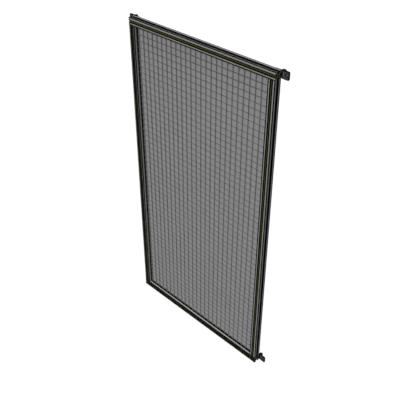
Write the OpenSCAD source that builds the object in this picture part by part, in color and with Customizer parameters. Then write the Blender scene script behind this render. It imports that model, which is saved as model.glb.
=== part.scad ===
// Machine guard fence panel: a frame of T-slot extrusion, a welded mesh backed by a thin sheet,
// cover strips in the front slots and four corner brackets that hang the panel between posts.
// X runs along the panel, Y from its front to its back and Z up. The origin lies on the seating
// face of the lower left bracket's tab, between the tab's hole and the frame.

/* [Frame] */
// Width over the stiles
frame_w = 700; // [400:5:1200]
// Height over the rails
frame_h = 1325; // [600:5:2200]
// Side of the square extrusion
profile = 30; // [28:1:40]
// Radius of the extrusion's outer corners
corner_r = 1.5; // [0.5:0.1:2.5]

/* [Slots] */
// Width of a slot's mouth
slot_w = 8; // [7.5:0.1:9]
// Thickness of the lips beside the mouth
lip_t = 2.2; // [1.8:0.1:2.8]
// Width of the cavity behind the lips
cavity_w = 16.5; // [15:0.1:17.5]
// Side of the square core
core = 12; // [11:0.1:13]
// Thickness of the diagonal webs
web_t = 2.5; // [2:0.1:3]
// Bore along the core
core_bore = 7.3; // [6:0.1:8]

/* [Mesh] */
// Distance from wire to wire
mesh_pitch = 25; // [20:1:50]
// Diameter of a wire
wire_d = 3; // [2.4:0.1:3]
// Depth by which crossing wires are welded into each other
weld_sink = 0.5; // [0.3:0.1:0.8]
// Least distance from the frame to the first wire's axis
mesh_margin = 7.5; // [5:0.5:20]
// Distance that the mesh and the sheet reach into the slots
mesh_hold = 5; // [3:0.5:6]
// Thickness of the sheet behind the mesh
sheet_t = 0.8; // [0.5:0.1:1]

/* [Edging] */
// Depth of the channel's floor below the frame's inner faces
edging_depth = 6; // [6:0.1:7]
// Thickness of the channel's floor
edging_floor = 1.5; // [1:0.1:2]
// Height by which the edging stands out of the slot
edging_proud = 1; // [0.5:0.1:2]

/* [Cover strips] */
// Depth of the strips' faces behind the frame's front
strip_recess = 1.5; // [0.3:0.1:1.7]
// Thickness of a strip's wings behind the lips
strip_t = 1.8; // [1.5:0.1:2.5]
// Width over a strip's wings
strip_w = 13; // [11:0.1:14]

/* [Brackets] */
// Gap between the frame and the neighbouring post
post_gap = 5; // [3:0.5:8]
// Reach of a tab past the frame's side
tab_out = 30; // [28:1:40]
// Height of a tab
tab_h = 30; // [28:1:30]
// Thickness of a bracket's plates
plate_t = 5; // [4:0.1:6]
// Radius of a tab's outer corners
tab_r = 5; // [2:0.5:7]
// Distance from the post gap to the tab's hole
tab_hole_in = 15; // [13:0.5:17]
// Distance from the post gap to the origin on the tab's seating face
seat_in = 5; // [4:0.5:6]
// Diameter of the tab's hole
tab_hole_d = 5.3; // [4.5:0.1:7]
// Diameter of the barrel
barrel_d = 16; // [12:0.5:18]
// Height of the barrel and of the leaf
barrel_h = 26; // [22:1:28]
// Recess of the neck between the leaf and the tab
neck_recess = 1; // [0.5:0.1:1.5]

/* [Fasteners] */
// Diameter of a bracket screw
bracket_screw_d = 6; // [5:0.1:7]
// Diameter of a bracket screw's head
bracket_head_d = 10.5; // [9:0.1:12]
// Height of a bracket screw's head
bracket_head_h = 3.3; // [2.5:0.1:4]
// Thickness of a slot nut below the lips
nut_t = 4; // [3:0.1:4.5]
// Length of a slot nut
nut_l = 16; // [12:0.5:20]
// Depth that a corner screw reaches into its stile
corner_screw_hold = 25; // [15:1:40]
// Diameter of a corner screw's countersunk head
corner_head_d = 13; // [11:0.1:14]

/* [Hidden] */
$fn = 48;

// Clearance between pieces that fit into each other
fit = 0.05;
// Clearance round a screw in a drilled hole
screw_fit = 0.3;
// Overshoot of a cut past the face that it opens
cut = 1;

aluminium = [0.56, 0.57, 0.58];
sheet_grey = [0.52, 0.53, 0.54];
wire_grey = [0.25, 0.25, 0.26];
black = [0.08, 0.08, 0.09];
olive = [0.42, 0.41, 0.12];
steel = [0.45, 0.45, 0.47];

// The frame's section
lip_y = profile / 2 - lip_t;
floor_half = core / 2 - web_t / sqrt(2);
taper_y = core / 2 + cavity_w / 2 - floor_half;

// The frame's opening
opening_w = frame_w - 2 * profile;
opening_h = frame_h - 2 * profile;

// The mesh: uprights in front, cross wires behind them, then the sheet
upright_count = floor((opening_w - 2 * mesh_margin) / mesh_pitch) + 1;
cross_count = floor((opening_h - 2 * mesh_margin) / mesh_pitch) + 1;
mesh_bands = 4;
mesh_front = -(wire_d * 2 - weld_sink + fit + sheet_t) / 2 - fit;
upright_y = mesh_front + wire_d / 2;
cross_y = upright_y + wire_d - weld_sink;
sheet_y = cross_y + wire_d / 2 + fit;

// The brackets and their fasteners
plate_y = profile / 2;
seat_out = post_gap + seat_in;
bracket_screw_in = profile / 2;
nut_half = min(cavity_w / 2, floor_half + lip_y - nut_t - core / 2) - 2 * fit - 0.2;
corner_screw_d = core_bore - 2 * fit;
corner_head_z = core / 2 + corner_head_d / 2 - floor_half + 2 * fit;

// Places the panel, drawn about its centre line with its foot at zero, from the origin.
module panel() {
    translate([frame_w / 2 + seat_out, -plate_y, -tab_h / 2]) children();
}

module rounded_square(side, r) {
    square([side, side - 2 * r], center = true);
    square([side - 2 * r, side], center = true);
    for (x = [-1, 1], y = [-1, 1]) translate([x, y] * (side / 2 - r)) circle(r);
}

module slot_section() {
    polygon([
        [-slot_w / 2, profile / 2 + cut], [slot_w / 2, profile / 2 + cut],
        [slot_w / 2, lip_y], [cavity_w / 2, lip_y], [cavity_w / 2, taper_y],
        [floor_half, core / 2], [-floor_half, core / 2],
        [-cavity_w / 2, taper_y], [-cavity_w / 2, lip_y], [-slot_w / 2, lip_y]
    ]);
}

module profile_section() {
    difference() {
        rounded_square(profile, corner_r);
        for (turn = [0:90:270]) rotate(turn) slot_section();
        circle(d = core_bore);
    }
}

// Runs a section along X: its x goes to Y and its y to Z.
module along_x(length) {
    rotate([90, 0, 90]) linear_extrude(length, center = true) children();
}

// Runs a section up Z from the lower rail to the upper one.
module up_stile(length) {
    linear_extrude(length, center = true) children();
}

// A rail with the corner screws' holes, lying on its own axis.
module rail() {
    color(aluminium) difference() {
        along_x(frame_w) profile_section();
        for (side = [-1, 1]) translate([side * (frame_w - profile) / 2, 0, 0])
            cylinder(d = core_bore + screw_fit, h = profile, center = true);
    }
}

module stile() {
    color(aluminium) up_stile(opening_h) profile_section();
}

// Puts a piece on the axis of the lower rail (-1) or the upper one (1).
module at_rail(end) {
    translate([0, 0, (frame_h + end * (frame_h - profile)) / 2]) children();
}

// Puts a piece on the axis of the left stile (-1) or the right one (1).
module at_stile(side) {
    translate([side * (frame_w - profile) / 2, 0, frame_h / 2]) children();
}

module bottom_rail() { panel() at_rail(-1) rail(); }
module top_rail() { panel() at_rail(1) mirror([0, 0, 1]) rail(); }
module left_stile() { panel() at_stile(-1) stile(); }
module right_stile() { panel() at_stile(1) mirror([1, 0, 0]) stile(); }

// A wire is an eight-sided bar, wire_d across its flats.
module wire(length) {
    sides = 8;
    rotate(180 / sides) cylinder(d = wire_d / cos(180 / sides), h = length, $fn = sides);
}

function upright_x(i) = (i - (upright_count - 1) / 2) * mesh_pitch;
function cross_z(i) = frame_h / 2 + (i - (cross_count - 1) / 2) * mesh_pitch;
function first_cross(band) = floor(band * cross_count / mesh_bands);
function band_foot(band) =
    band == 0 ? profile - mesh_hold :
    band == mesh_bands ? frame_h - profile + mesh_hold :
    cross_z(first_cross(band)) - mesh_pitch / 2;

// One band of the mesh, from one cut between two cross wires to the next.
module mesh_band(band) {
    foot = band_foot(band);
    color(wire_grey) union() {
        for (i = [0:upright_count - 1]) translate([upright_x(i), upright_y, foot])
            wire(band_foot(band + 1) - foot);
        for (i = [first_cross(band):first_cross(band + 1) - 1])
            translate([-opening_w / 2 - mesh_hold, cross_y, cross_z(i)])
                rotate([0, 90, 0]) wire(opening_w + 2 * mesh_hold);
    }
}

module lower_mesh() { panel() mesh_band(0); }
module lower_middle_mesh() { panel() mesh_band(1); }
module upper_middle_mesh() { panel() mesh_band(2); }
module upper_mesh() { panel() mesh_band(3); }

module backing_sheet() {
    panel() color(sheet_grey) translate([0, sheet_y, frame_h / 2])
        translate([-opening_w / 2 - mesh_hold, 0, -opening_h / 2 - mesh_hold])
            cube([opening_w + 2 * mesh_hold, sheet_t, opening_h + 2 * mesh_hold]);
}

// The edging's channel section, in a slot that opens towards +y at y = profile / 2.
// Its legs lie against the lips, and the mesh and the sheet lie between them.
module edging_section() {
    face = profile / 2;
    difference() {
        translate([-slot_w / 2, face - edging_depth - edging_floor])
            square([slot_w, edging_depth + edging_floor + edging_proud]);
        translate([mesh_front - fit, face - edging_depth])
            square([sheet_y + sheet_t - mesh_front + 2 * fit, edging_depth + edging_proud + cut]);
    }
}

module rail_edging() {
    color(black) along_x(opening_w) edging_section();
}

module stile_edging() {
    color(black) up_stile(opening_h - 2 * edging_proud) rotate(-90) mirror([1, 0]) edging_section();
}

module bottom_edging() { panel() at_rail(-1) rail_edging(); }
module top_edging() { panel() at_rail(1) mirror([0, 0, 1]) rail_edging(); }
module left_edging() { panel() at_stile(-1) stile_edging(); }
module right_edging() { panel() at_stile(1) mirror([1, 0, 0]) stile_edging(); }

// The cover strip's section, in a slot that opens towards -y: a bar in the mouth, and wings
// that hold it from behind the lips.
module strip_section() {
    translate([-slot_w / 2 + fit, -profile / 2 + strip_recess])
        square([slot_w - 2 * fit, lip_t + fit + strip_t - strip_recess]);
    translate([-strip_w / 2, -lip_y + fit]) square([strip_w, strip_t]);
}

module rail_strip() {
    color(olive) rotate([90, 0, 90]) linear_extrude(frame_w, center = true)
        rotate(-90) strip_section();
}

module stile_strip() {
    color(olive) up_stile(opening_h) strip_section();
}

module bottom_cover_strip() { panel() at_rail(-1) rail_strip(); }
module top_cover_strip() { panel() at_rail(1) rail_strip(); }
module left_cover_strip() { panel() at_stile(-1) stile_strip(); }
module right_cover_strip() { panel() at_stile(1) stile_strip(); }

// Puts a bracket or its fasteners at a corner: side -1 or 1 for left or right, end -1 or 1 for
// lower or upper. Its x then runs outwards from the frame's side, its y back from the frame's
// back, and its z from the rail's mid-height.
module at_corner(side, end) {
    at_rail(end) translate([side * frame_w / 2, plate_y, 0])
        mirror([side < 0 ? 1 : 0, 0, 0]) mirror([0, 0, end > 0 ? 1 : 0]) children();
}

// A plate from one x to another, plate_t thick, with two rounded corners at its far end.
module round_plate(from, to, height, r) {
    translate([0, plate_t, 0]) rotate([90, 0, 0]) linear_extrude(plate_t) {
        translate([from, -height / 2]) square([to - from - r, height]);
        translate([from, -height / 2 + r]) square([to - from, height - 2 * r]);
        for (z = [-1, 1]) translate([to - r, z * (height / 2 - r)]) circle(r);
    }
}

module bracket() {
    color(black) difference() {
        union() {
            round_plate(post_gap, tab_out, tab_h, tab_r);
            translate([0, neck_recess, -tab_h / 2])
                cube([post_gap + fit, plate_t - neck_recess, tab_h]);
            mirror([1, 0, 0]) round_plate(-fit, profile, barrel_h, tab_r);
            translate([post_gap / 2, barrel_d / 2, 0])
                cylinder(d = barrel_d, h = barrel_h, center = true);
        }
        translate([post_gap + tab_hole_in, 0, 0]) rotate([90, 0, 0])
            cylinder(d = tab_hole_d, h = 2 * plate_t + cut, center = true);
        translate([-bracket_screw_in, 0, 0]) rotate([90, 0, 0])
            cylinder(d = bracket_screw_d + screw_fit, h = 2 * plate_t + cut, center = true);
    }
}

module lower_left_bracket() { panel() at_corner(-1, -1) bracket(); }
module lower_right_bracket() { panel() at_corner(1, -1) bracket(); }
module upper_left_bracket() { panel() at_corner(-1, 1) bracket(); }
module upper_right_bracket() { panel() at_corner(1, 1) bracket(); }

// A button-headed screw from the leaf's back into the slot nut.
module bracket_screw() {
    color(steel) translate([-bracket_screw_in, plate_t + fit, 0]) rotate([90, 0, 0]) {
        cylinder(d = bracket_screw_d, h = plate_t + lip_t + nut_t);
        difference() {
            translate([0, 0, -bracket_head_h])
                cylinder(d1 = bracket_head_d * 0.7, d2 = bracket_head_d, h = bracket_head_h);
            translate([0, 0, -bracket_head_h - cut])
                cylinder(d = bracket_head_d * 0.4, h = bracket_head_h * 0.6 + cut, $fn = 6);
        }
    }
}

module lower_left_bracket_screw() { panel() at_corner(-1, -1) bracket_screw(); }
module lower_right_bracket_screw() { panel() at_corner(1, -1) bracket_screw(); }
module upper_left_bracket_screw() { panel() at_corner(-1, 1) bracket_screw(); }
module upper_right_bracket_screw() { panel() at_corner(1, 1) bracket_screw(); }

// A nut that slides in the rail's rear slot and bears on the lips from inside.
module slot_nut() {
    color(steel) translate([-bracket_screw_in, 0, 0]) difference() {
        union() {
            translate([-nut_l / 2, -lip_t - nut_t, -nut_half])
                cube([nut_l, nut_t - fit, 2 * nut_half]);
            translate([-nut_l / 2, -lip_t - nut_t, -slot_w / 2 + 0.2])
                cube([nut_l, nut_t + lip_t - 0.2, slot_w - 0.4]);
        }
        rotate([90, 0, 0])
            cylinder(d = bracket_screw_d + 2 * fit, h = 2 * (lip_t + nut_t) + cut, center = true);
    }
}

module lower_left_slot_nut() { panel() at_corner(-1, -1) slot_nut(); }
module lower_right_slot_nut() { panel() at_corner(1, -1) slot_nut(); }
module upper_left_slot_nut() { panel() at_corner(-1, 1) slot_nut(); }
module upper_right_slot_nut() { panel() at_corner(1, 1) slot_nut(); }

// A countersunk screw through the rail into the stile's core. Its cone bears on the sloping
// floor of the rail's outer slot.
module corner_screw(side, end) {
    shank_end = profile / 2 + corner_screw_hold;
    color(steel) at_rail(end) translate([side * (frame_w - profile) / 2, 0, 0])
        mirror([0, 0, end < 0 ? 1 : 0]) difference() {
            union() {
                translate([0, 0, -shank_end])
                    cylinder(d = corner_screw_d, h = shank_end + core / 2 + cut);
                translate([0, 0, core / 2 + 2 * fit + corner_screw_d / 2 - floor_half])
                    cylinder(d1 = corner_screw_d, d2 = corner_head_d,
                             h = (corner_head_d - corner_screw_d) / 2);
            }
            translate([0, 0, corner_head_z - corner_head_d / 5])
                cylinder(d = corner_head_d * 0.4, h = corner_head_d / 5 + cut, $fn = 6);
        }
}

module lower_left_corner_screw() { panel() corner_screw(-1, -1); }
module lower_right_corner_screw() { panel() corner_screw(1, -1); }
module upper_left_corner_screw() { panel() corner_screw(-1, 1); }
module upper_right_corner_screw() { panel() corner_screw(1, 1); }

bottom_rail();
top_rail();
left_stile();
right_stile();
lower_mesh();
lower_middle_mesh();
upper_middle_mesh();
upper_mesh();
backing_sheet();
bottom_edging();
top_edging();
left_edging();
right_edging();
bottom_cover_strip();
top_cover_strip();
left_cover_strip();
right_cover_strip();
lower_left_bracket();
lower_right_bracket();
upper_left_bracket();
upper_right_bracket();
lower_left_bracket_screw();
lower_right_bracket_screw();
upper_left_bracket_screw();
upper_right_bracket_screw();
lower_left_slot_nut();
lower_right_slot_nut();
upper_left_slot_nut();
upper_right_slot_nut();
lower_left_corner_screw();
lower_right_corner_screw();
upper_left_corner_screw();
upper_right_corner_screw();
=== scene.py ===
import math

import bpy
import numpy as np
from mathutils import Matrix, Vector


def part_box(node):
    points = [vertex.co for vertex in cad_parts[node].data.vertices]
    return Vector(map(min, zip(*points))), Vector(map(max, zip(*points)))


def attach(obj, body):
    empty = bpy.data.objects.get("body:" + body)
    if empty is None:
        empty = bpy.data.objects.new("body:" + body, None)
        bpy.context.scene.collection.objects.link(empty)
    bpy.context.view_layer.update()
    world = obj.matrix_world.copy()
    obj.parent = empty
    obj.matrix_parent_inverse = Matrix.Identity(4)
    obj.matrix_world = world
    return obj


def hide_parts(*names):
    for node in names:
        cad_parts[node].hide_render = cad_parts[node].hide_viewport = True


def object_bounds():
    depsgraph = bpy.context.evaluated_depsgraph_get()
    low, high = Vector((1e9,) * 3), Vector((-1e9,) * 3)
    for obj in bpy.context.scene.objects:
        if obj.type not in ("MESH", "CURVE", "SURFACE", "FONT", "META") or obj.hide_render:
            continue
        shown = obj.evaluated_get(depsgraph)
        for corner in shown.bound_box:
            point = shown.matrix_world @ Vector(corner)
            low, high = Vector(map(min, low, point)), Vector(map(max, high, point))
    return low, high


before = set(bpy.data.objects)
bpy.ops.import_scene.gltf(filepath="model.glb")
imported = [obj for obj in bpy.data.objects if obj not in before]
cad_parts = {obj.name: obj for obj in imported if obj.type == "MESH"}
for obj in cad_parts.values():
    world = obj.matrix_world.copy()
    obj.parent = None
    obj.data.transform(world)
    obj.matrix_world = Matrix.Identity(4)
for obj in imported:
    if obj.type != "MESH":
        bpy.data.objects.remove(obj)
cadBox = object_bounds()

# Guard fence panel: a T-slot frame, welded mesh before a thin sheet, a bracket at each corner.
# X runs along the panel, Y from its front to its back and Z up, all in metres.

mm = 0.001
cadLow = np.array(cadBox[0])
cadHigh = np.array(cadBox[1])
cadMiddle = (cadLow + cadHigh) / 2


def boxOf(*nodes):
    # lowest and highest corner of one node, or of several together
    boxes = np.array([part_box(node) for node in nodes])
    return boxes[:, 0].min(axis=0), boxes[:, 1].max(axis=0)


def middleOf(node):
    low, high = boxOf(node)
    return (low + high) / 2


def grey(level):
    return (level, level, level, 1)


# Studio: camera, floor and lights

studio = {
    "towards": (1, -1, 1),          # the camera lies to the right, to the front and above alike
    "distance": 2.540,              # from the camera to what it aims at
    "aimShift": (0.0, 0.1 * mm, -1.0 * mm),     # from the middle of the panel's box
    "lens": 57.25,
    "sensor": 36.0,
    "farthest": 100.0,
    "floorSide": 180.0,
    "floorGrey": 0.07,              # dark, so that the suns' shadows stay faint
    "floorMottle": 0.95,            # share of that grey in the floor's darker patches
    "floorPatches": 3.0,
    "floorRoughness": 0.9,
    "floorGlow": 0.94,              # what makes the floor pale
    "worldGrey": 0.19,
    "suns": {                       # direction towards the sun, strength, apparent angle
        "topSun": ((0.0, -0.1, 1.0), 2.1, 20),
        "frontSun": ((0.34, -0.9, 0.38), 1.12, 50),
        "backSun": ((-0.25, 0.9, 0.2), 0.8, 50),
    },
}


def makeCamera():
    data = bpy.data.cameras.new("studioCamera")
    data.lens = studio["lens"]
    data.sensor_width = studio["sensor"]
    data.clip_end = studio["farthest"]
    camera = bpy.data.objects.new("studioCamera", data)
    bpy.context.scene.collection.objects.link(camera)
    back = Vector(studio["towards"]).normalized()
    aim = Vector(cadMiddle.tolist()) + Vector(studio["aimShift"])
    camera.location = aim + back * studio["distance"]
    camera.rotation_euler = (-back).to_track_quat("-Z", "Y").to_euler()
    bpy.context.scene.camera = camera


def makeSuns():
    for name, (towards, strength, angle) in studio["suns"].items():
        data = bpy.data.lights.new(name, "SUN")
        data.energy = strength
        data.angle = math.radians(angle)
        sun = bpy.data.objects.new(name, data)
        sun.rotation_euler = Vector(towards).to_track_quat("Z", "Y").to_euler()
        bpy.context.scene.collection.objects.link(sun)


def makeWorld():
    world = bpy.data.worlds.new("studioWorld")
    world.use_nodes = True
    background = world.node_tree.nodes["Background"]
    background.inputs["Color"].default_value = grey(studio["worldGrey"])
    bpy.context.scene.world = world
    bpy.context.scene.view_settings.view_transform = "Standard"


# Shader maths: a socket that takes part in plain arithmetic

class Link:
    def __init__(self, finish, socket):
        self.finish = finish
        self.socket = socket

    def math(self, operation, first, second=0.0):
        return self.finish.node("ShaderNodeMath", {"operation": operation}, {0: first, 1: second})

    def __add__(self, other):
        return self.math("ADD", self, other)

    def __radd__(self, other):
        return self.math("ADD", other, self)

    def __sub__(self, other):
        return self.math("SUBTRACT", self, other)

    def __rsub__(self, other):
        return self.math("SUBTRACT", other, self)

    def __mul__(self, other):
        return self.math("MULTIPLY", self, other)

    def __rmul__(self, other):
        return self.math("MULTIPLY", other, self)

    def __abs__(self):
        return self.math("ABSOLUTE", self)

    def over(self, other):
        return self.math("MAXIMUM", self, other)

    def under(self, other):
        return self.math("MINIMUM", self, other)

    def rise(self, start, end):
        # 0 before start, 1 past end and smooth between them; start may lie above end
        return self.finish.node("ShaderNodeMapRange", {"interpolation_type": "SMOOTHSTEP"},
                                {"Value": self, "From Min": start, "From Max": end})


class Finish:
    # one material and its node tree
    def __init__(self, name):
        self.material = bpy.data.materials.new(name)
        self.material.use_nodes = True
        self.tree = self.material.node_tree
        self.shader = self.tree.nodes["Principled BSDF"]
        self.place = self.node("ShaderNodeTexCoord", {}, {}, "Object")

    def node(self, kind, settings, sockets, output=0):
        # every node of the tree: settings first, then a value or a link for each socket
        node = self.tree.nodes.new(kind)
        for key, value in settings.items():
            setattr(node, key, value)
        for key, value in sockets.items():
            if isinstance(value, Link):
                self.tree.links.new(value.socket, node.inputs[key])
            else:
                node.inputs[key].default_value = value
        return Link(self, node.outputs[output])

    def axes(self):
        # x, y and z of a point, each as a link
        split = self.node("ShaderNodeSeparateXYZ", {}, {0: self.place}).socket.node
        return [Link(self, output) for output in split.outputs]

    def noise(self, scale, detail=2.0, roughness=0.5):
        # scale is one number, or one for each axis
        scales = scale if isinstance(scale, tuple) else (scale,) * 3
        where = self.node("ShaderNodeMapping", {}, {"Vector": self.place, "Scale": scales})
        return self.node("ShaderNodeTexNoise", {},
                         {"Vector": where, "Scale": 1.0, "Detail": detail, "Roughness": roughness})

    def mix(self, share, first, second):
        # two colours, on the Mix node's sockets for them: share 0 gives the first, 1 the second
        return self.node("ShaderNodeMix", {"data_type": "RGBA"}, {0: share, 6: first, 7: second}, 2)

    def bump(self, height, strength, distance):
        return self.node("ShaderNodeBump", {},
                         {"Height": height, "Strength": strength, "Distance": distance})

    def wear(self, **sockets):
        # the shader's own sockets, by name without spaces
        inputs = {socket.name.replace(" ", ""): socket for socket in self.shader.inputs}
        for key, value in sockets.items():
            if isinstance(value, Link):
                self.tree.links.new(value.socket, inputs[key])
            else:
                inputs[key].default_value = value
        return self.material

    def coat(self, colour, grain, look):
        # a surface whose roughness and bump follow one grain. The look's roughness is its value
        # where the grain is 0 and how much more it is where the grain is 1; its bump is the
        # strength and the depth
        least, more = look["roughness"]
        return self.wear(
            BaseColor=colour,
            SpecularIORLevel=look["specular"],
            Roughness=least + more * grain,
            Normal=self.bump(grain, *look["bump"]))


def dress(node, material):
    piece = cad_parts[node]
    piece.data.materials.clear()
    piece.data.materials.append(material)


# Surfaces: a shell is its points and a list of face arrays, each with one number of corners

def gridFaces(rows, columns, loopRows=False):
    # the quad between each point, its neighbour in the row and the same two in the next row;
    # rows are closed loops, and the last row meets the first one where loopRows is set
    row = np.arange(rows if loopRows else rows - 1)[:, None]
    column = np.arange(columns)[None, :]
    above = (row + 1) % rows
    beside = (column + 1) % columns
    corners = [row * columns + column, row * columns + beside,
               above * columns + beside, above * columns + column]
    return np.stack(corners, axis=-1).reshape(-1, 4)


def facingOut(points, faces):
    # turns all faces round where the volume under them, summed fan by fan, is negative
    centred = points - points.mean(axis=0)
    volume = 0.0
    for block in faces:
        for corner in range(1, block.shape[1] - 1):
            fan = [centred[block[:, k]] for k in (0, corner, corner + 1)]
            volume += np.einsum("ij,ij->", fan[0], np.cross(fan[1], fan[2]))
    if volume < 0:
        faces = [block[:, ::-1] for block in faces]
    return points, faces


def gridShell(grid, loopRows=False):
    # grid is rows x columns x 3; open ends are closed by one face each
    rows, columns = grid.shape[:2]
    faces = [gridFaces(rows, columns, loopRows)]
    if not loopRows:
        faces.append(np.arange(columns)[None, ::-1])
        faces.append(((rows - 1) * columns + np.arange(columns))[None, :])
    return facingOut(grid.reshape(-1, 3), faces)


def repeated(shell, places):
    # the same shell moved to each place
    points, faces = shell
    step = len(points) * np.arange(len(places))[:, None, None]
    moved = (points[None] + places[:, None]).reshape(-1, 3)
    return moved, [(block[None] + step).reshape(-1, block.shape[1]) for block in faces]


def placed(shell, spot, signs):
    # the shell turned over where a sign is -1, then moved to its spot
    points, faces = shell
    return facingOut(points * np.array(signs) + np.array(spot), faces)


def makePiece(name, shells, material, slot, *nodes):
    # one piece of all the shells, which rides on the body and stands for the nodes
    points = []
    faces = []
    count = 0
    for shellPoints, shellFaces in shells:
        points.append(shellPoints)
        for block in shellFaces:
            faces.extend((block + count).tolist())
        count += len(shellPoints)
    data = bpy.data.meshes.new(name)
    data.from_pydata(np.concatenate(points).tolist(), [], faces)
    data.update()
    piece = bpy.data.objects.new(name, data)
    bpy.context.scene.collection.objects.link(piece)
    data.materials.append(material)
    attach(piece, "root")
    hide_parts(*nodes)
    return piece


def softenEdges(piece, degrees):
    # smooth shading across all edges that turn less than this
    piece.data.shade_smooth()
    piece.data.set_sharp_from_angle(angle=math.radians(degrees))


def outline(low, high, radii, inset=0.0, perCorner=7, perSide=7):
    # a rectangle with round corners as one loop: a quarter circle at each corner and evenly
    # spaced points on the straight between two; inset moves the whole loop inwards. The corners
    # and their radii go round from the one that is highest in both directions
    low = np.array(low) + inset
    high = np.array(high) - inset
    leastRadius = 0.02 * mm
    radius = np.maximum(np.array(radii, float) - inset, leastRadius)[:, None]
    turn = np.linspace(0, math.pi / 2, perCorner)[None] + math.pi / 2 * np.arange(4)[:, None]
    centres = np.array([[high[0], high[1]], [low[0], high[1]], [low[0], low[1]], [high[0], low[1]]])
    centres = centres - radius * np.array([[1, 1], [-1, 1], [-1, -1], [1, -1]])
    arc = np.stack([np.cos(turn), np.sin(turn)], axis=-1)
    corners = centres[:, None] + radius[:, None] * arc
    share = (np.arange(perSide) + 1)[None, :, None] / (perSide + 1)
    following = np.roll(corners, -1, axis=0)
    sides = corners[:, -1:] * (1 - share) + following[:, :1] * share
    return np.concatenate([corners, sides], axis=1).reshape(-1, 2)


def roundedSteps(edge, steps=4):
    # inset and height along a quarter round of radius edge, from the flat face to the side
    turn = np.linspace(0, math.pi / 2, steps)
    return [(edge * (1 - math.sin(t)), edge * (1 - math.cos(t))) for t in turn]


def slab(low, high, radii, front, back, edge):
    # loops of the outline stacked from front to back, drawn in along a quarter round at both
    # faces; x and z lie in the outline and y is the depth
    rim = roundedSteps(edge)
    rows = [(inset, front + height) for inset, height in rim]
    rows += [(inset, back - height) for inset, height in rim[::-1]]
    grid = [np.insert(outline(low, high, radii, inset), 1, y, axis=1) for inset, y in rows]
    return gridShell(np.array(grid))


def turned(rows, spot, axis, sides=40):
    # rings about an axis through spot: each row gives the distance along the axis and the
    # radius, which is one number or a function of the angle
    angle = 2 * math.pi * np.arange(sides) / sides
    grid = np.zeros((len(rows), sides, 3))
    across = [k for k in range(3) if k != axis]
    for index, (along, radius) in enumerate(rows):
        reach = radius(angle) if callable(radius) else radius
        grid[index, :, across[0]] = reach * np.cos(angle)
        grid[index, :, across[1]] = reach * np.sin(angle)
        grid[index, :, axis] = along
    return gridShell(grid + np.array(spot))


def carried(section, start, end, run):
    # a closed section carried straight from start to end; its columns fill the other two axes
    grid = np.zeros((2, len(section), 3))
    across = [k for k in range(3) if k != run]
    grid[:, :, across[0]] = section[:, 0]
    grid[:, :, across[1]] = section[:, 1]
    grid[0, :, run] = start
    grid[1, :, run] = end
    return gridShell(grid)


# The extrusions

extrusion = {
    "albedo": grey(0.47),
    "paleAlbedo": grey(0.44),
    "clouds": 14.0,
    "cloudEdges": (0.3, 0.7),
    "cutMetal": grey(0.15),
    # colour of the painted shade and the painted dark lines
    "shade": grey(0.004),
    "half": 15.0 * mm,              # half of the extrusion's side
    "mouth": 4.0 * mm,              # half of the slot's mouth
    "blur": 0.3 * mm,               # of the painted dark lines' edges
    "slotStart": 0.5 * mm,          # depth at which the painted shade in the slot begins
    "slotDark": 0.8 * mm,           # depth at which that painted shade is full
    "cutStart": 0.3 * mm,           # from a cut end, where the cut metal begins
    "cutFull": 0.1 * mm,
    "split": 0.01 * mm,             # between what belongs to the front and to the sides
    "dieLines": 2500.0,             # die lines to the metre across a face
    "dieBreaks": 60.0,              # and their changes to the metre along it
    "dieDetail": (3.0, 0.7),
    "metallic": 0.2,
    "specular": 0.03,
    "roughness": (0.42, 0.14, 0.2),     # plain, by the die lines and where it is dark
    "bump": (0.12, 0.1 * mm),
    # For each member: the axis that it runs along, the side of it that the panel's outside is
    # on, and the widths in millimetres of the painted dark lines and painted shade beside its
    # corners and its slot's mouth: across its front and back from the outside in, and across its
    # sides from the front
    "members": {
        "top_rail": ("x", 1, (2.6, 2.6, 2.3, 4.4), (3.1, 6.8, 1.2, 5.6)),
        "bottom_rail": ("x", -1, (6.2, 3.9, 4.9, 5.6), (1.6, 3.0, 3.0, 1.6)),
        "left_stile": ("z", -1, (4.5, 4.8, 4.7, 4.9), (1.8, 2.5, 2.5, 1.8)),
        "right_stile": ("z", 1, (2.9, 3.5, 1.9, 5.2), (3.5, 3.5, 1.6, 5.5)),
    },
}


def lipLight(distance, start, end):
    # 1 between start and end with soft ends, and 0 outside them
    blur = extrusion["blur"]
    return distance.rise(start, start + blur) * distance.rise(end, end - blur)


def faceLight(distance, widths):
    # the bright parts of a face's two lips; the distance is from the face's middle towards the
    # edge that the widths start from
    half = extrusion["half"]
    mouth = extrusion["mouth"]
    corner, byMouth, pastMouth, farCorner = [width * mm for width in widths]
    near = lipLight(distance, mouth + byMouth, half - corner)
    far = lipLight(-1 * distance, mouth + pastMouth, half - farCorner)
    return near + far


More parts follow.
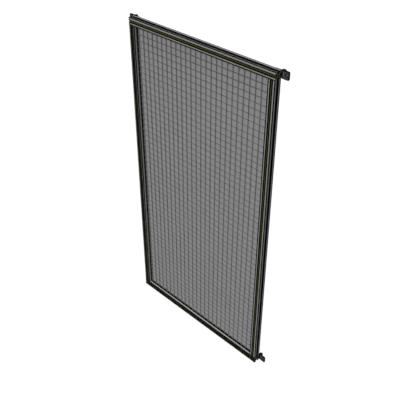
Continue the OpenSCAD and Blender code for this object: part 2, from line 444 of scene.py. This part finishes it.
def extrusionFinish(node):
    # natural anodised aluminium: die lines along the length, painted shade in the slots and
    # painted dark lines along the edges and the slots' mouths
    e = extrusion
    along, outside, frontWidths, sideWidths = e["members"][node]
    centre = middleOf(node).tolist()
    low, high = boxOf(node)
    finish = Finish(node + "Finish")
    x, y, z = finish.axes()
    if along == "x":
        outwards = (z - centre[2]) * outside
        run = abs(x - centre[0])
        reach = float(high[0] - low[0]) / 2
        grain = (e["dieBreaks"], e["dieLines"], e["dieLines"])
    else:
        outwards = (x - centre[0]) * outside
        run = abs(z - centre[2])
        reach = float(high[2] - low[2]) / 2
        grain = (e["dieLines"], e["dieLines"], e["dieBreaks"])
    forwards = centre[1] - y
    depth = abs(forwards)
    across = abs(outwards)
    onFront = (depth - across).rise(-e["split"], e["split"])
    onEnd = run.rise(reach - e["cutStart"], reach - e["cutFull"])
    # painted shade deeper in the slot's recess
    inSlot = depth.over(across).rise(e["half"] - e["slotStart"], e["half"] - e["slotDark"])
    light = onFront * faceLight(outwards, frontWidths)
    light = light + (1 - onFront) * faceLight(forwards, sideWidths)
    # dark is the painted shade: the dark lines and the slot's recess, left off the cut ends
    dark = (1 - light).over(inSlot) * (1 - onEnd)
    lines = finish.noise(grain, *e["dieDetail"])
    clouds = finish.noise(e["clouds"]).rise(*e["cloudEdges"])
    metal = finish.mix(clouds, e["albedo"], e["paleAlbedo"])
    metal = finish.mix(onEnd, metal, e["cutMetal"])
    plain, byLines, byDark = e["roughness"]
    return finish.wear(
        BaseColor=finish.mix(dark, metal, e["shade"]),
        Metallic=e["metallic"],
        SpecularIORLevel=e["specular"],
        Roughness=plain + byLines * lines + byDark * dark,
        Normal=finish.bump(lines, *e["bump"]))


def dressExtrusions():
    # the solids' own shape is right, so each only gets its finish
    for node in extrusion["members"]:
        dress(node, extrusionFinish(node))


# The welded mesh

weldedMesh = {
    "bands": ("lower_mesh", "lower_middle_mesh", "upper_middle_mesh", "upper_mesh"),
    "pitch": 25.0 * mm,
    "wire": 3.0 * mm,
    "sides": 16,
    "nugget": (2.2 * mm, 1.3 * mm, 2.2 * mm),   # half sizes of the weld between two wires
    "nuggetRings": (-72.0, -25.0, 25.0, 72.0),  # in degrees from its equator
    "nuggetSides": 8,
    "smoothBelow": 50,              # degrees
    "coat": grey(0.20),
    "worn": grey(0.235),
    "patches": 40.0,
    "peel": 900.0,
    "specular": 0.5,
    "roughness": (0.5, 0.2),
    "bump": (0.2, 0.1 * mm),
}


def wireFinish():
    # grey powder coat with a fine orange peel
    w = weldedMesh
    finish = Finish("wireFinish")
    colour = finish.mix(finish.noise(w["patches"]), w["coat"], w["worn"])
    return finish.coat(colour, finish.noise(w["peel"]), w)


def nuggetShell():
    # an ellipsoid as a few rings of points, cut off flat at both poles
    w = weldedMesh
    rows = [(math.sin(a), math.cos(a)) for a in np.radians(w["nuggetRings"])]
    points, faces = turned(rows, (0, 0, 0), 1, w["nuggetSides"])
    return points * np.array(w["nugget"]), faces


def makeMesh():
    # uprights and cross wires are round bars and a nugget fills each crossing. The uprights
    # stand half a pitch off the middle on both sides, and the middle cross wire lies on it
    w = weldedMesh
    radius = w["wire"] / 2
    pitch = w["pitch"]
    material = wireFinish()
    allLow, allHigh = boxOf(*w["bands"])
    middle = (allLow + allHigh) / 2
    frontY = allLow[1] + radius
    backY = allHigh[1] - radius
    side = int((allHigh[0] - allLow[0]) / 2 / pitch - 0.5) + 0.5
    level = int((allHigh[2] - allLow[2]) / 2 / pitch)
    uprights = middle[0] + pitch * np.arange(-side, side + 1)
    crosses = middle[2] + pitch * np.arange(-level, level + 1)
    for band in w["bands"]:
        low, high = boxOf(band)
        heights = crosses[(crosses > low[2]) & (crosses < high[2])]
        upright = turned([(low[2], radius), (high[2], radius)], (0, frontY, 0), 2, w["sides"])
        cross = turned([(low[0], radius), (high[0], radius)], (0, backY, 0), 0, w["sides"])
        alongX = np.stack([uprights, 0 * uprights, 0 * uprights], axis=-1)
        alongZ = np.stack([0 * heights, 0 * heights, heights], axis=-1)
        knots = (alongX[None] + alongZ[:, None]).reshape(-1, 3) + (0, (frontY + backY) / 2, 0)
        shells = [repeated(upright, alongX), repeated(cross, alongZ)]
        shells.append(repeated(nuggetShell(), knots))
        piece = makePiece(band.replace("_mesh", "_wires"), shells, material, "mesh", band)
        softenEdges(piece, w["smoothBelow"])


# The sheet behind the mesh

sheet = {
    "albedo": grey(0.455),
    "cloudAlbedo": grey(0.485),
    # colour of the painted shade along the sheet's rim
    "grime": grey(0.02),
    "grimeWidth": 1.3 * mm,         # width of the painted shade on the sheet beside the frame's inner faces
    "grimeBlur": 0.4 * mm,
    "clouds": (6.0, 3.0),           # scale and detail
    "grain": (30.0, 900.0, 900.0),
    "specular": 0.15,
    "roughness": (0.65, 0.15),
    "bump": (0.1, 0.05 * mm),
}


def sheetFinish():
    # matt grey sheet with a faint rolled grain, and painted shade where it enters the edging
    finish = Finish("sheetFinish")
    x, _, z = finish.axes()
    centre = middleOf("backing_sheet").tolist()
    left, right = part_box("left_stile")[1][0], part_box("right_stile")[0][0]
    foot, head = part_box("bottom_rail")[1][2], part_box("top_rail")[0][2]
    past = abs(x - centre[0]) - (right - left) / 2
    past = past.over(abs(z - centre[2]) - (head - foot) / 2)
    # painted shade in a narrow band beside the frame's inner faces
    grime = past.rise(-sheet["grimeWidth"] - sheet["grimeBlur"], -sheet["grimeWidth"])
    colour = finish.mix(finish.noise(*sheet["clouds"]), sheet["albedo"], sheet["cloudAlbedo"])
    colour = finish.mix(grime, colour, sheet["grime"])
    return finish.coat(colour, finish.noise(sheet["grain"]), sheet)


# The rubber edging

edging = {
    "nodes": {                      # the axis that each runs along, and where its slot opens
        "bottom_edging": (0, 1),
        "top_edging": (0, -1),
        "left_edging": (2, 1),
        "right_edging": (2, -1),
    },
    "front": 3.26 * mm,             # from the middle to the front leg's inner face
    "back": 3.16 * mm,              # from the middle to the back leg's inner face
    "leg": 4.0 * mm,                # from the middle to a leg's outer face
    "lip": 5.8 * mm,                # from the middle to the tip of the lip on the frame
    "depth": 7.5 * mm,              # from the frame's face to the channel's foot
    "floor": 6.0 * mm,              # from the frame's face to the channel's floor
    "proud": 1.0 * mm,              # of the frame's face
    "round": 0.35 * mm,
    "tipPoints": 7,
    "smoothBelow": 40,              # degrees
    "rubber": grey(0.006),
    "dusty": grey(0.014),
    "grain": (700.0, 3.0),          # scale and detail
    "specular": 0.03,
    "roughness": (0.7, 0.2),
    "bump": (0.2, 0.1 * mm),
}


def rubberFinish():
    # black rubber, a little dusty
    finish = Finish("rubberFinish")
    grain = finish.noise(*edging["grain"])
    return finish.coat(finish.mix(grain, edging["rubber"], edging["dusty"]), grain, edging)


def edgingLoop():
    # half of the channel from its foot out to the lip, round the lip's tip and down the leg's
    # inner face; the other half is its mirror image
    e = edging
    turn = np.linspace(-math.pi / 2, math.pi / 2, e["tipPoints"])
    tip = np.stack([e["lip"] - e["round"] + e["round"] * np.cos(turn),
                    e["proud"] / 2 + e["proud"] / 2 * np.sin(turn)], axis=-1)
    halves = []
    for sign, inner in ((1, e["back"]), (-1, e["front"])):
        outside = [(e["leg"], -e["depth"]), (e["leg"], 0.0)]
        inside = [(inner + e["round"], e["proud"]), (inner, e["proud"] - e["round"]),
                  (inner, -e["floor"])]
        halves.append(np.concatenate([outside, tip, inside]) * (sign, 1))
    return np.concatenate([halves[0], halves[1][::-1]])


def makeEdging():
    # the loop stands in the slot's mouth, its first column across the slot along Y and its
    # second out of the slot, and runs from one end of the node to the other
    material = rubberFinish()
    loop = edgingLoop()
    for node, (run, opens) in edging["nodes"].items():
        low, high = boxOf(node)
        height = 2 - run                # the axis along which the slot opens
        face = (high if opens > 0 else low)[height] - opens * edging["proud"]
        acrossY = (low[1] + high[1]) / 2 + loop[:, 0]
        outwards = face + opens * loop[:, 1]
        columns = [acrossY, outwards] if run == 0 else [outwards, acrossY]
        shell = carried(np.stack(columns, axis=-1), low[run], high[run], run)
        piece = makePiece(node.replace("_edging", "_rubber"), [shell], material, "edging", node)
        softenEdges(piece, edging["smoothBelow"])


# The cover strips

coverStrip = {
    "nodes": {                      # the axis that each runs along, and half of the width free of painted shade
        "bottom_cover_strip": (0, 0.5 * mm),
        "top_cover_strip": (0, 1.3 * mm),
        "left_cover_strip": (2, 0.2 * mm),
        "right_cover_strip": (2, 0.6 * mm),
    },
    "half": 3.95 * mm,              # half of the bar's width
    "crown": 0.5 * mm,              # by how much its sides lie behind its middle
    "lip": 0.75 * mm,               # from the face to the wings' front
    "archPoints": 13,
    "smoothBelow": 30,              # degrees
    "olive": (0.12, 0.115, 0.022, 1),
    "paleOlive": (0.16, 0.155, 0.034, 1),
    "shade": grey(0.005),
    "blur": 0.3 * mm,               # of the painted shade's edges
    "clouds": 25.0,
    "grain": 1200.0,
    "specular": 0.03,
    "roughness": (0.5, 0.15),
    "bump": (0.1, 0.05 * mm),
}


def stripFinish(node, run, unshadedHalf):
    # olive plastic, dull, with painted shade on its sides beside the lips
    s = coverStrip
    finish = Finish(node + "Finish")
    x, _, z = finish.axes()
    centre = middleOf(node).tolist()
    across = abs(z - centre[2]) if run == 0 else abs(x - centre[0])
    olive = finish.mix(finish.noise(s["clouds"]), s["olive"], s["paleOlive"])
    # painted shade on the bar's sides beside the lips
    colour = finish.mix(across.rise(unshadedHalf, unshadedHalf + s["blur"]), olive, s["shade"])
    return finish.coat(colour, finish.noise(s["grain"]), s)


def makeStrips():
    # the bar's face is a shallow arch, deeper by the square of the distance from its middle;
    # the wings behind the lips are square
    s = coverStrip
    for node, (run, unshadedHalf) in s["nodes"].items():
        low, high = boxOf(node)
        centre = (low + high) / 2
        wide = 2 - run                  # the axis across the strip
        wing = float(high[wide] - low[wide]) / 2
        wingFront = low[1] + s["lip"]
        u = np.linspace(-s["half"], s["half"], s["archPoints"])
        arch = np.stack([u, low[1] + s["crown"] * (u / s["half"]) ** 2], axis=-1)
        wings = [(s["half"], wingFront), (wing, wingFront), (wing, high[1]),
                 (-wing, high[1]), (-wing, wingFront), (-s["half"], wingFront)]
        loop = np.concatenate([arch, wings]) + (centre[wide], 0)
        section = loop[:, ::-1] if run == 0 else loop
        shell = carried(section, low[run], high[run], run)
        piece = makePiece(node.replace("_cover_strip", "_strip"), [shell],
                          stripFinish(node, run, unshadedHalf), "cover_strip", node)
        softenEdges(piece, s["smoothBelow"])


# The brackets and their screws

bracket = {
    "gap": 5.0 * mm,                # from the frame's side to the tab
    "out": 30.0 * mm,               # from the frame's side to the tab's far edge
    "tabHeight": 30.0 * mm,
    "leafIn": 30.0 * mm,            # from the frame's side to the leaf's far edge
    "leafOut": 1.0 * mm,            # from the frame's side to the leaf's edge in the barrel
    "leafHeight": 26.0 * mm,
    "plate": 5.0 * mm,
    "corner": 5.0 * mm,
    "square": 0.5 * mm,             # radius of the corners beside the neck
    "edge": 0.8 * mm,               # round of the plates' rims
    "hole": 20.0 * mm,              # from the frame's side to the tab's hole
    "holeRadius": 2.65 * mm,
    "screw": 15.0 * mm,             # from the frame's side to the screw
    "screwHoleRadius": 3.15 * mm,
    "chamfer": 0.15 * mm,
    "neck": 1.0 * mm,               # recess of the neck's front
    "neckIn": 1.0 * mm,             # from the frame's side to the neck's end in the leaf
    "neckOut": 1.5 * mm,            # how far the neck runs into the tab
    "barrelRadius": 8.0 * mm,
    "barrelEdge": 1.2 * mm,
    "smoothBelow": 35,              # degrees
    "line": 3.4 * mm,               # width of the painted dark line along the rims
    "ring": 2.89 * mm,              # and round the holes
    "lineBlur": 0.15 * mm,
    # Shades of the points, 0 on the plain coat; the next ones paint dark lines, a lighter hole wall
    # and a highlight:
    "lineShade": 1.0,
    # the holes' walls, painted lighter than the coat
    "holeShade": 1.6,
    "rubbedShade": 2.0,
    "coat": grey(0.065),
    "worn": grey(0.09),
    # colour of the rubbed spots, also used for the painted highlight
    "rubbed": grey(0.19),
    "shade": grey(0.005),
    "patches": 90.0,
    "rubs": (160.0, 4.0, 0.7),      # scale, detail and roughness of the rubbed spots
    "rubEdges": (0.66, 0.74),
    "grain": (600.0, 3.0),          # scale and detail
    "specular": 0.04,
    "roughness": (0.42, 0.2),
    "bump": (0.25, 0.15 * mm),
}


def castFinish():
    # dark powder coat over a casting's grain, rubbed in a few spots, with painted dark lines along
    # its edges: the points' shade turns the coat black up to lineShade, and from there on it turns
    # it to the rubbed colour as a painted highlight
    b = bracket
    finish = Finish("castFinish")
    edges = finish.node("ShaderNodeAttribute", {"attribute_name": "paintedShadeAndHighlight"}, {}, "Fac")
    spots = finish.noise(*b["rubs"]).rise(*b["rubEdges"])
    colour = finish.mix(finish.noise(b["patches"]), b["coat"], b["worn"])
    colour = finish.mix(spots, colour, b["rubbed"])
    colour = finish.mix(edges.under(b["lineShade"]), colour, b["shade"])
    colour = finish.mix(edges.rise(b["lineShade"], b["rubbedShade"]), colour, b["rubbed"])
    return finish.coat(colour, finish.noise(*b["grain"]), b)


def fromBack(rows):
    # the rows of a plate's front, as they lie on its back
    return [(inset, bracket["plate"] - y, shade) for inset, y, shade in rows]


def piercedPlate(low, high, radii, hole, holeRadius):
    # a plate with one hole, as a ring: its loops run through the hole, out over the back, round
    # the rim and in over the front. A point of a hole's loop lies on the ray from the hole's
    # middle to the outline's point. A row is its distance from the hole's wall or from the rim,
    # its depth and its shade, which comes back for each point
    b = bracket
    chamfer = b["chamfer"]
    line, ring, blur = b["line"], b["ring"], b["lineBlur"]
    dark, inHole = b["lineShade"], b["holeShade"]
    # a painted dark ring round the hole, and the hole's wall painted lighter
    holeRows = [(ring, 0.0, 0), (ring - blur, 0.0, dark), (chamfer + blur, 0.0, dark),
                (chamfer, 0.0, inHole), (0.0, chamfer, inHole)]
    holeRows += fromBack(holeRows[::-1])
    rimRows = [(line, 0.0, 0), (line - blur, 0.0, dark)]
    rimRows += [(inset, height, dark) for inset, height in roundedSteps(b["edge"])]
    rimRows = fromBack(rimRows) + rimRows[::-1]
    outer = outline(low, high, radii) - np.array(hole)
    ray = outer / np.linalg.norm(outer, axis=1, keepdims=True)
    grid = [np.insert(hole + ray * (holeRadius + more), 1, y, axis=1) for more, y, _ in holeRows]
    grid += [np.insert(outline(low, high, radii, inset), 1, y, axis=1) for inset, y, _ in rimRows]
    shade = np.array([row[2] for row in holeRows + rimRows], float)
    return gridShell(np.array(grid), loopRows=True), np.repeat(shade, len(outer))


def bracketShells():
    # x runs outwards from the frame's side, y back from the frame's back, z up from the middle;
    # each shell comes with its points' shades
    b = bracket
    tabHalf = b["tabHeight"] / 2
    leafHalf = b["leafHeight"] / 2
    roundOut = (b["corner"], b["square"], b["square"], b["corner"])
    roundIn = (b["square"], b["corner"], b["corner"], b["square"])
    tab, tabShade = piercedPlate((b["gap"], -tabHalf), (b["out"], tabHalf), roundOut,
                                 (b["hole"], 0.0), b["holeRadius"])
    x, _, z = tab[0].T
    # a painted highlight along the tab's edge by the neck, in place of the dark line
    byNeck = (x < b["gap"] + b["line"]) & (abs(z) < tabHalf - b["line"])
    tabShade[byNeck & (tabShade == b["lineShade"])] = b["rubbedShade"]
    leaf, leafShade = piercedPlate((-b["leafIn"], -leafHalf), (b["leafOut"], leafHalf), roundIn,
                                   (-b["screw"], 0.0), b["screwHoleRadius"])
    neck = slab((-b["neckIn"], -tabHalf), (b["gap"] + b["neckOut"], tabHalf), (b["square"],) * 4,
                b["neck"], b["plate"], b["edge"])
    rows = [(-leafHalf + height, b["barrelRadius"] - inset)
            for inset, height in roundedSteps(b["barrelEdge"])]
    rows += [(-along, radius) for along, radius in rows[::-1]]
    barrel = turned(rows, (b["gap"] / 2, b["barrelRadius"], 0.0), 2)
    # the neck and the barrel are painted with the dark line's shade all over
    dark = [(part, np.full(len(part[0]), b["lineShade"])) for part in (neck, barrel)]
    return [(tab, tabShade), (leaf, leafShade)] + dark


bracketScrew = {
    "head": 5.25 * mm,
    "rim": 0.6 * mm,                # height of the head's straight rim
    "height": 3.3 * mm,
    "domeSteps": 6,
    "seatGap": 0.05 * mm,           # between the plate and the head
    "flat": 2.9 * mm,               # radius of the flat round the socket
    "socket": 2.0 * mm,             # half of the hexagon across its flats
    "socketLead": 0.15 * mm,
    "socketDepth": 2.0 * mm,
    "shank": 3.0 * mm,
    "tip": 0.5 * mm,                # chamfer of the shank's tip
    "reach": 6.2 * mm,              # from the frame's back into the nut
    "sides": 48,
    "smoothBelow": 35,              # degrees
    "zinc": grey(0.30),
    "bright": grey(0.42),
    "grain": 500.0,
    "metallic": 0.9,
    "roughness": (0.3, 0.2),
}


def steelFinish():
    # zinc plated steel
    s = bracketScrew
    finish = Finish("steelFinish")
    grain = finish.noise(s["grain"])
    least, more = s["roughness"]
    return finish.wear(
        BaseColor=finish.mix(grain, s["zinc"], s["bright"]),
        Metallic=s["metallic"],
        Roughness=least + more * grain)


def hexagonReach(angle):
    # distance from the middle of the socket's hexagon to its edge at an angle
    return bracketScrew["socket"] / np.cos((angle % (math.pi / 3)) - math.pi / 6)


def screwShell():
    # rings about the screw's axis: tip, shank, head's underside, a dome that follows a quarter
    # ellipse, and the six-sided socket
    s = bracketScrew
    seat = bracket["plate"] + s["seatGap"]
    top = seat + s["height"]
    rows = [(-s["reach"], s["shank"] - s["tip"]), (-s["reach"] + s["tip"], s["shank"]),
            (seat, s["shank"]), (seat, s["head"])]
    rows += [(seat + s["rim"] + (s["height"] - s["rim"]) * math.sin(t),
              s["flat"] + (s["head"] - s["flat"]) * math.cos(t))
             for t in np.linspace(0, math.pi / 2, s["domeSteps"])]
    rows += [(top - s["socketLead"], hexagonReach), (top - s["socketDepth"], hexagonReach)]
    return turned(rows, (-bracket["screw"], 0.0, 0.0), 1, s["sides"])


def makeBrackets():
    # one set of shells, turned over for each corner
    cast = castFinish()
    steel = steelFinish()
    parts = bracketShells()
    screw = screwShell()
    for end, rail in (("lower", "bottom_rail"), ("upper", "top_rail")):
        low, high = boxOf(rail)
        for side in ("left", "right"):
            outwards = -1 if side == "left" else 1
            spot = ((low if outwards < 0 else high)[0], high[1], (low[2] + high[2]) / 2)
            signs = (outwards, 1, 1 if end == "lower" else -1)
            corner = end + "_" + side
            shells = [placed(shell, spot, signs) for shell, shade in parts]
            piece = makePiece(corner + "_casting", shells, cast, "bracket", corner + "_bracket")
            # the points' shades, for the painted dark lines and the painted highlight
            layer = piece.data.attributes.new("paintedShadeAndHighlight", "FLOAT", "POINT")
            layer.data.foreach_set("value", np.concatenate([shade for shell, shade in parts]))
            softenEdges(piece, bracket["smoothBelow"])
            piece = makePiece(corner + "_button_screw", [placed(screw, spot, signs)],
                              steel, "fastener", corner + "_bracket_screw")
            softenEdges(piece, bracketScrew["smoothBelow"])
            for fastener in ("_slot_nut", "_corner_screw"):
                dress(corner + fastener, steel)


# Floor

def floorFinish():
    # pale by its own glow, faintly mottled
    finish = Finish("floorFinish")
    level = studio["floorGrey"]
    patches = finish.noise(studio["floorPatches"])
    return finish.wear(
        BaseColor=finish.mix(patches, grey(level), grey(level * studio["floorMottle"])),
        Roughness=studio["floorRoughness"],
        EmissionColor=(1, 1, 1, 1),
        EmissionStrength=studio["floorGlow"])


def makeFloor():
    # one flat square under the panel's lowest point
    side = studio["floorSide"] / 2
    corners = np.array([(-side, -side, 0), (side, -side, 0), (side, side, 0), (-side, side, 0)])
    corners = corners + np.array([cadMiddle[0], cadMiddle[1], cadLow[2]])
    plane = bpy.data.meshes.new("floor")
    plane.from_pydata(corners.tolist(), [], [(0, 1, 2, 3)])
    floor = bpy.data.objects.new("floor", plane)
    bpy.context.scene.collection.objects.link(floor)
    plane.materials.append(floorFinish())
    floor.visible_diffuse = False           # its glow lights nothing
    floor.visible_glossy = False


makeCamera()
makeWorld()
makeSuns()
makeFloor()
print("studio ready")
dressExtrusions()
dress("backing_sheet", sheetFinish())
print("frame and sheet dressed")
makeMesh()
print("wires made")
makeEdging()
makeStrips()
print("edging and strips made")
makeBrackets()
print("brackets made")
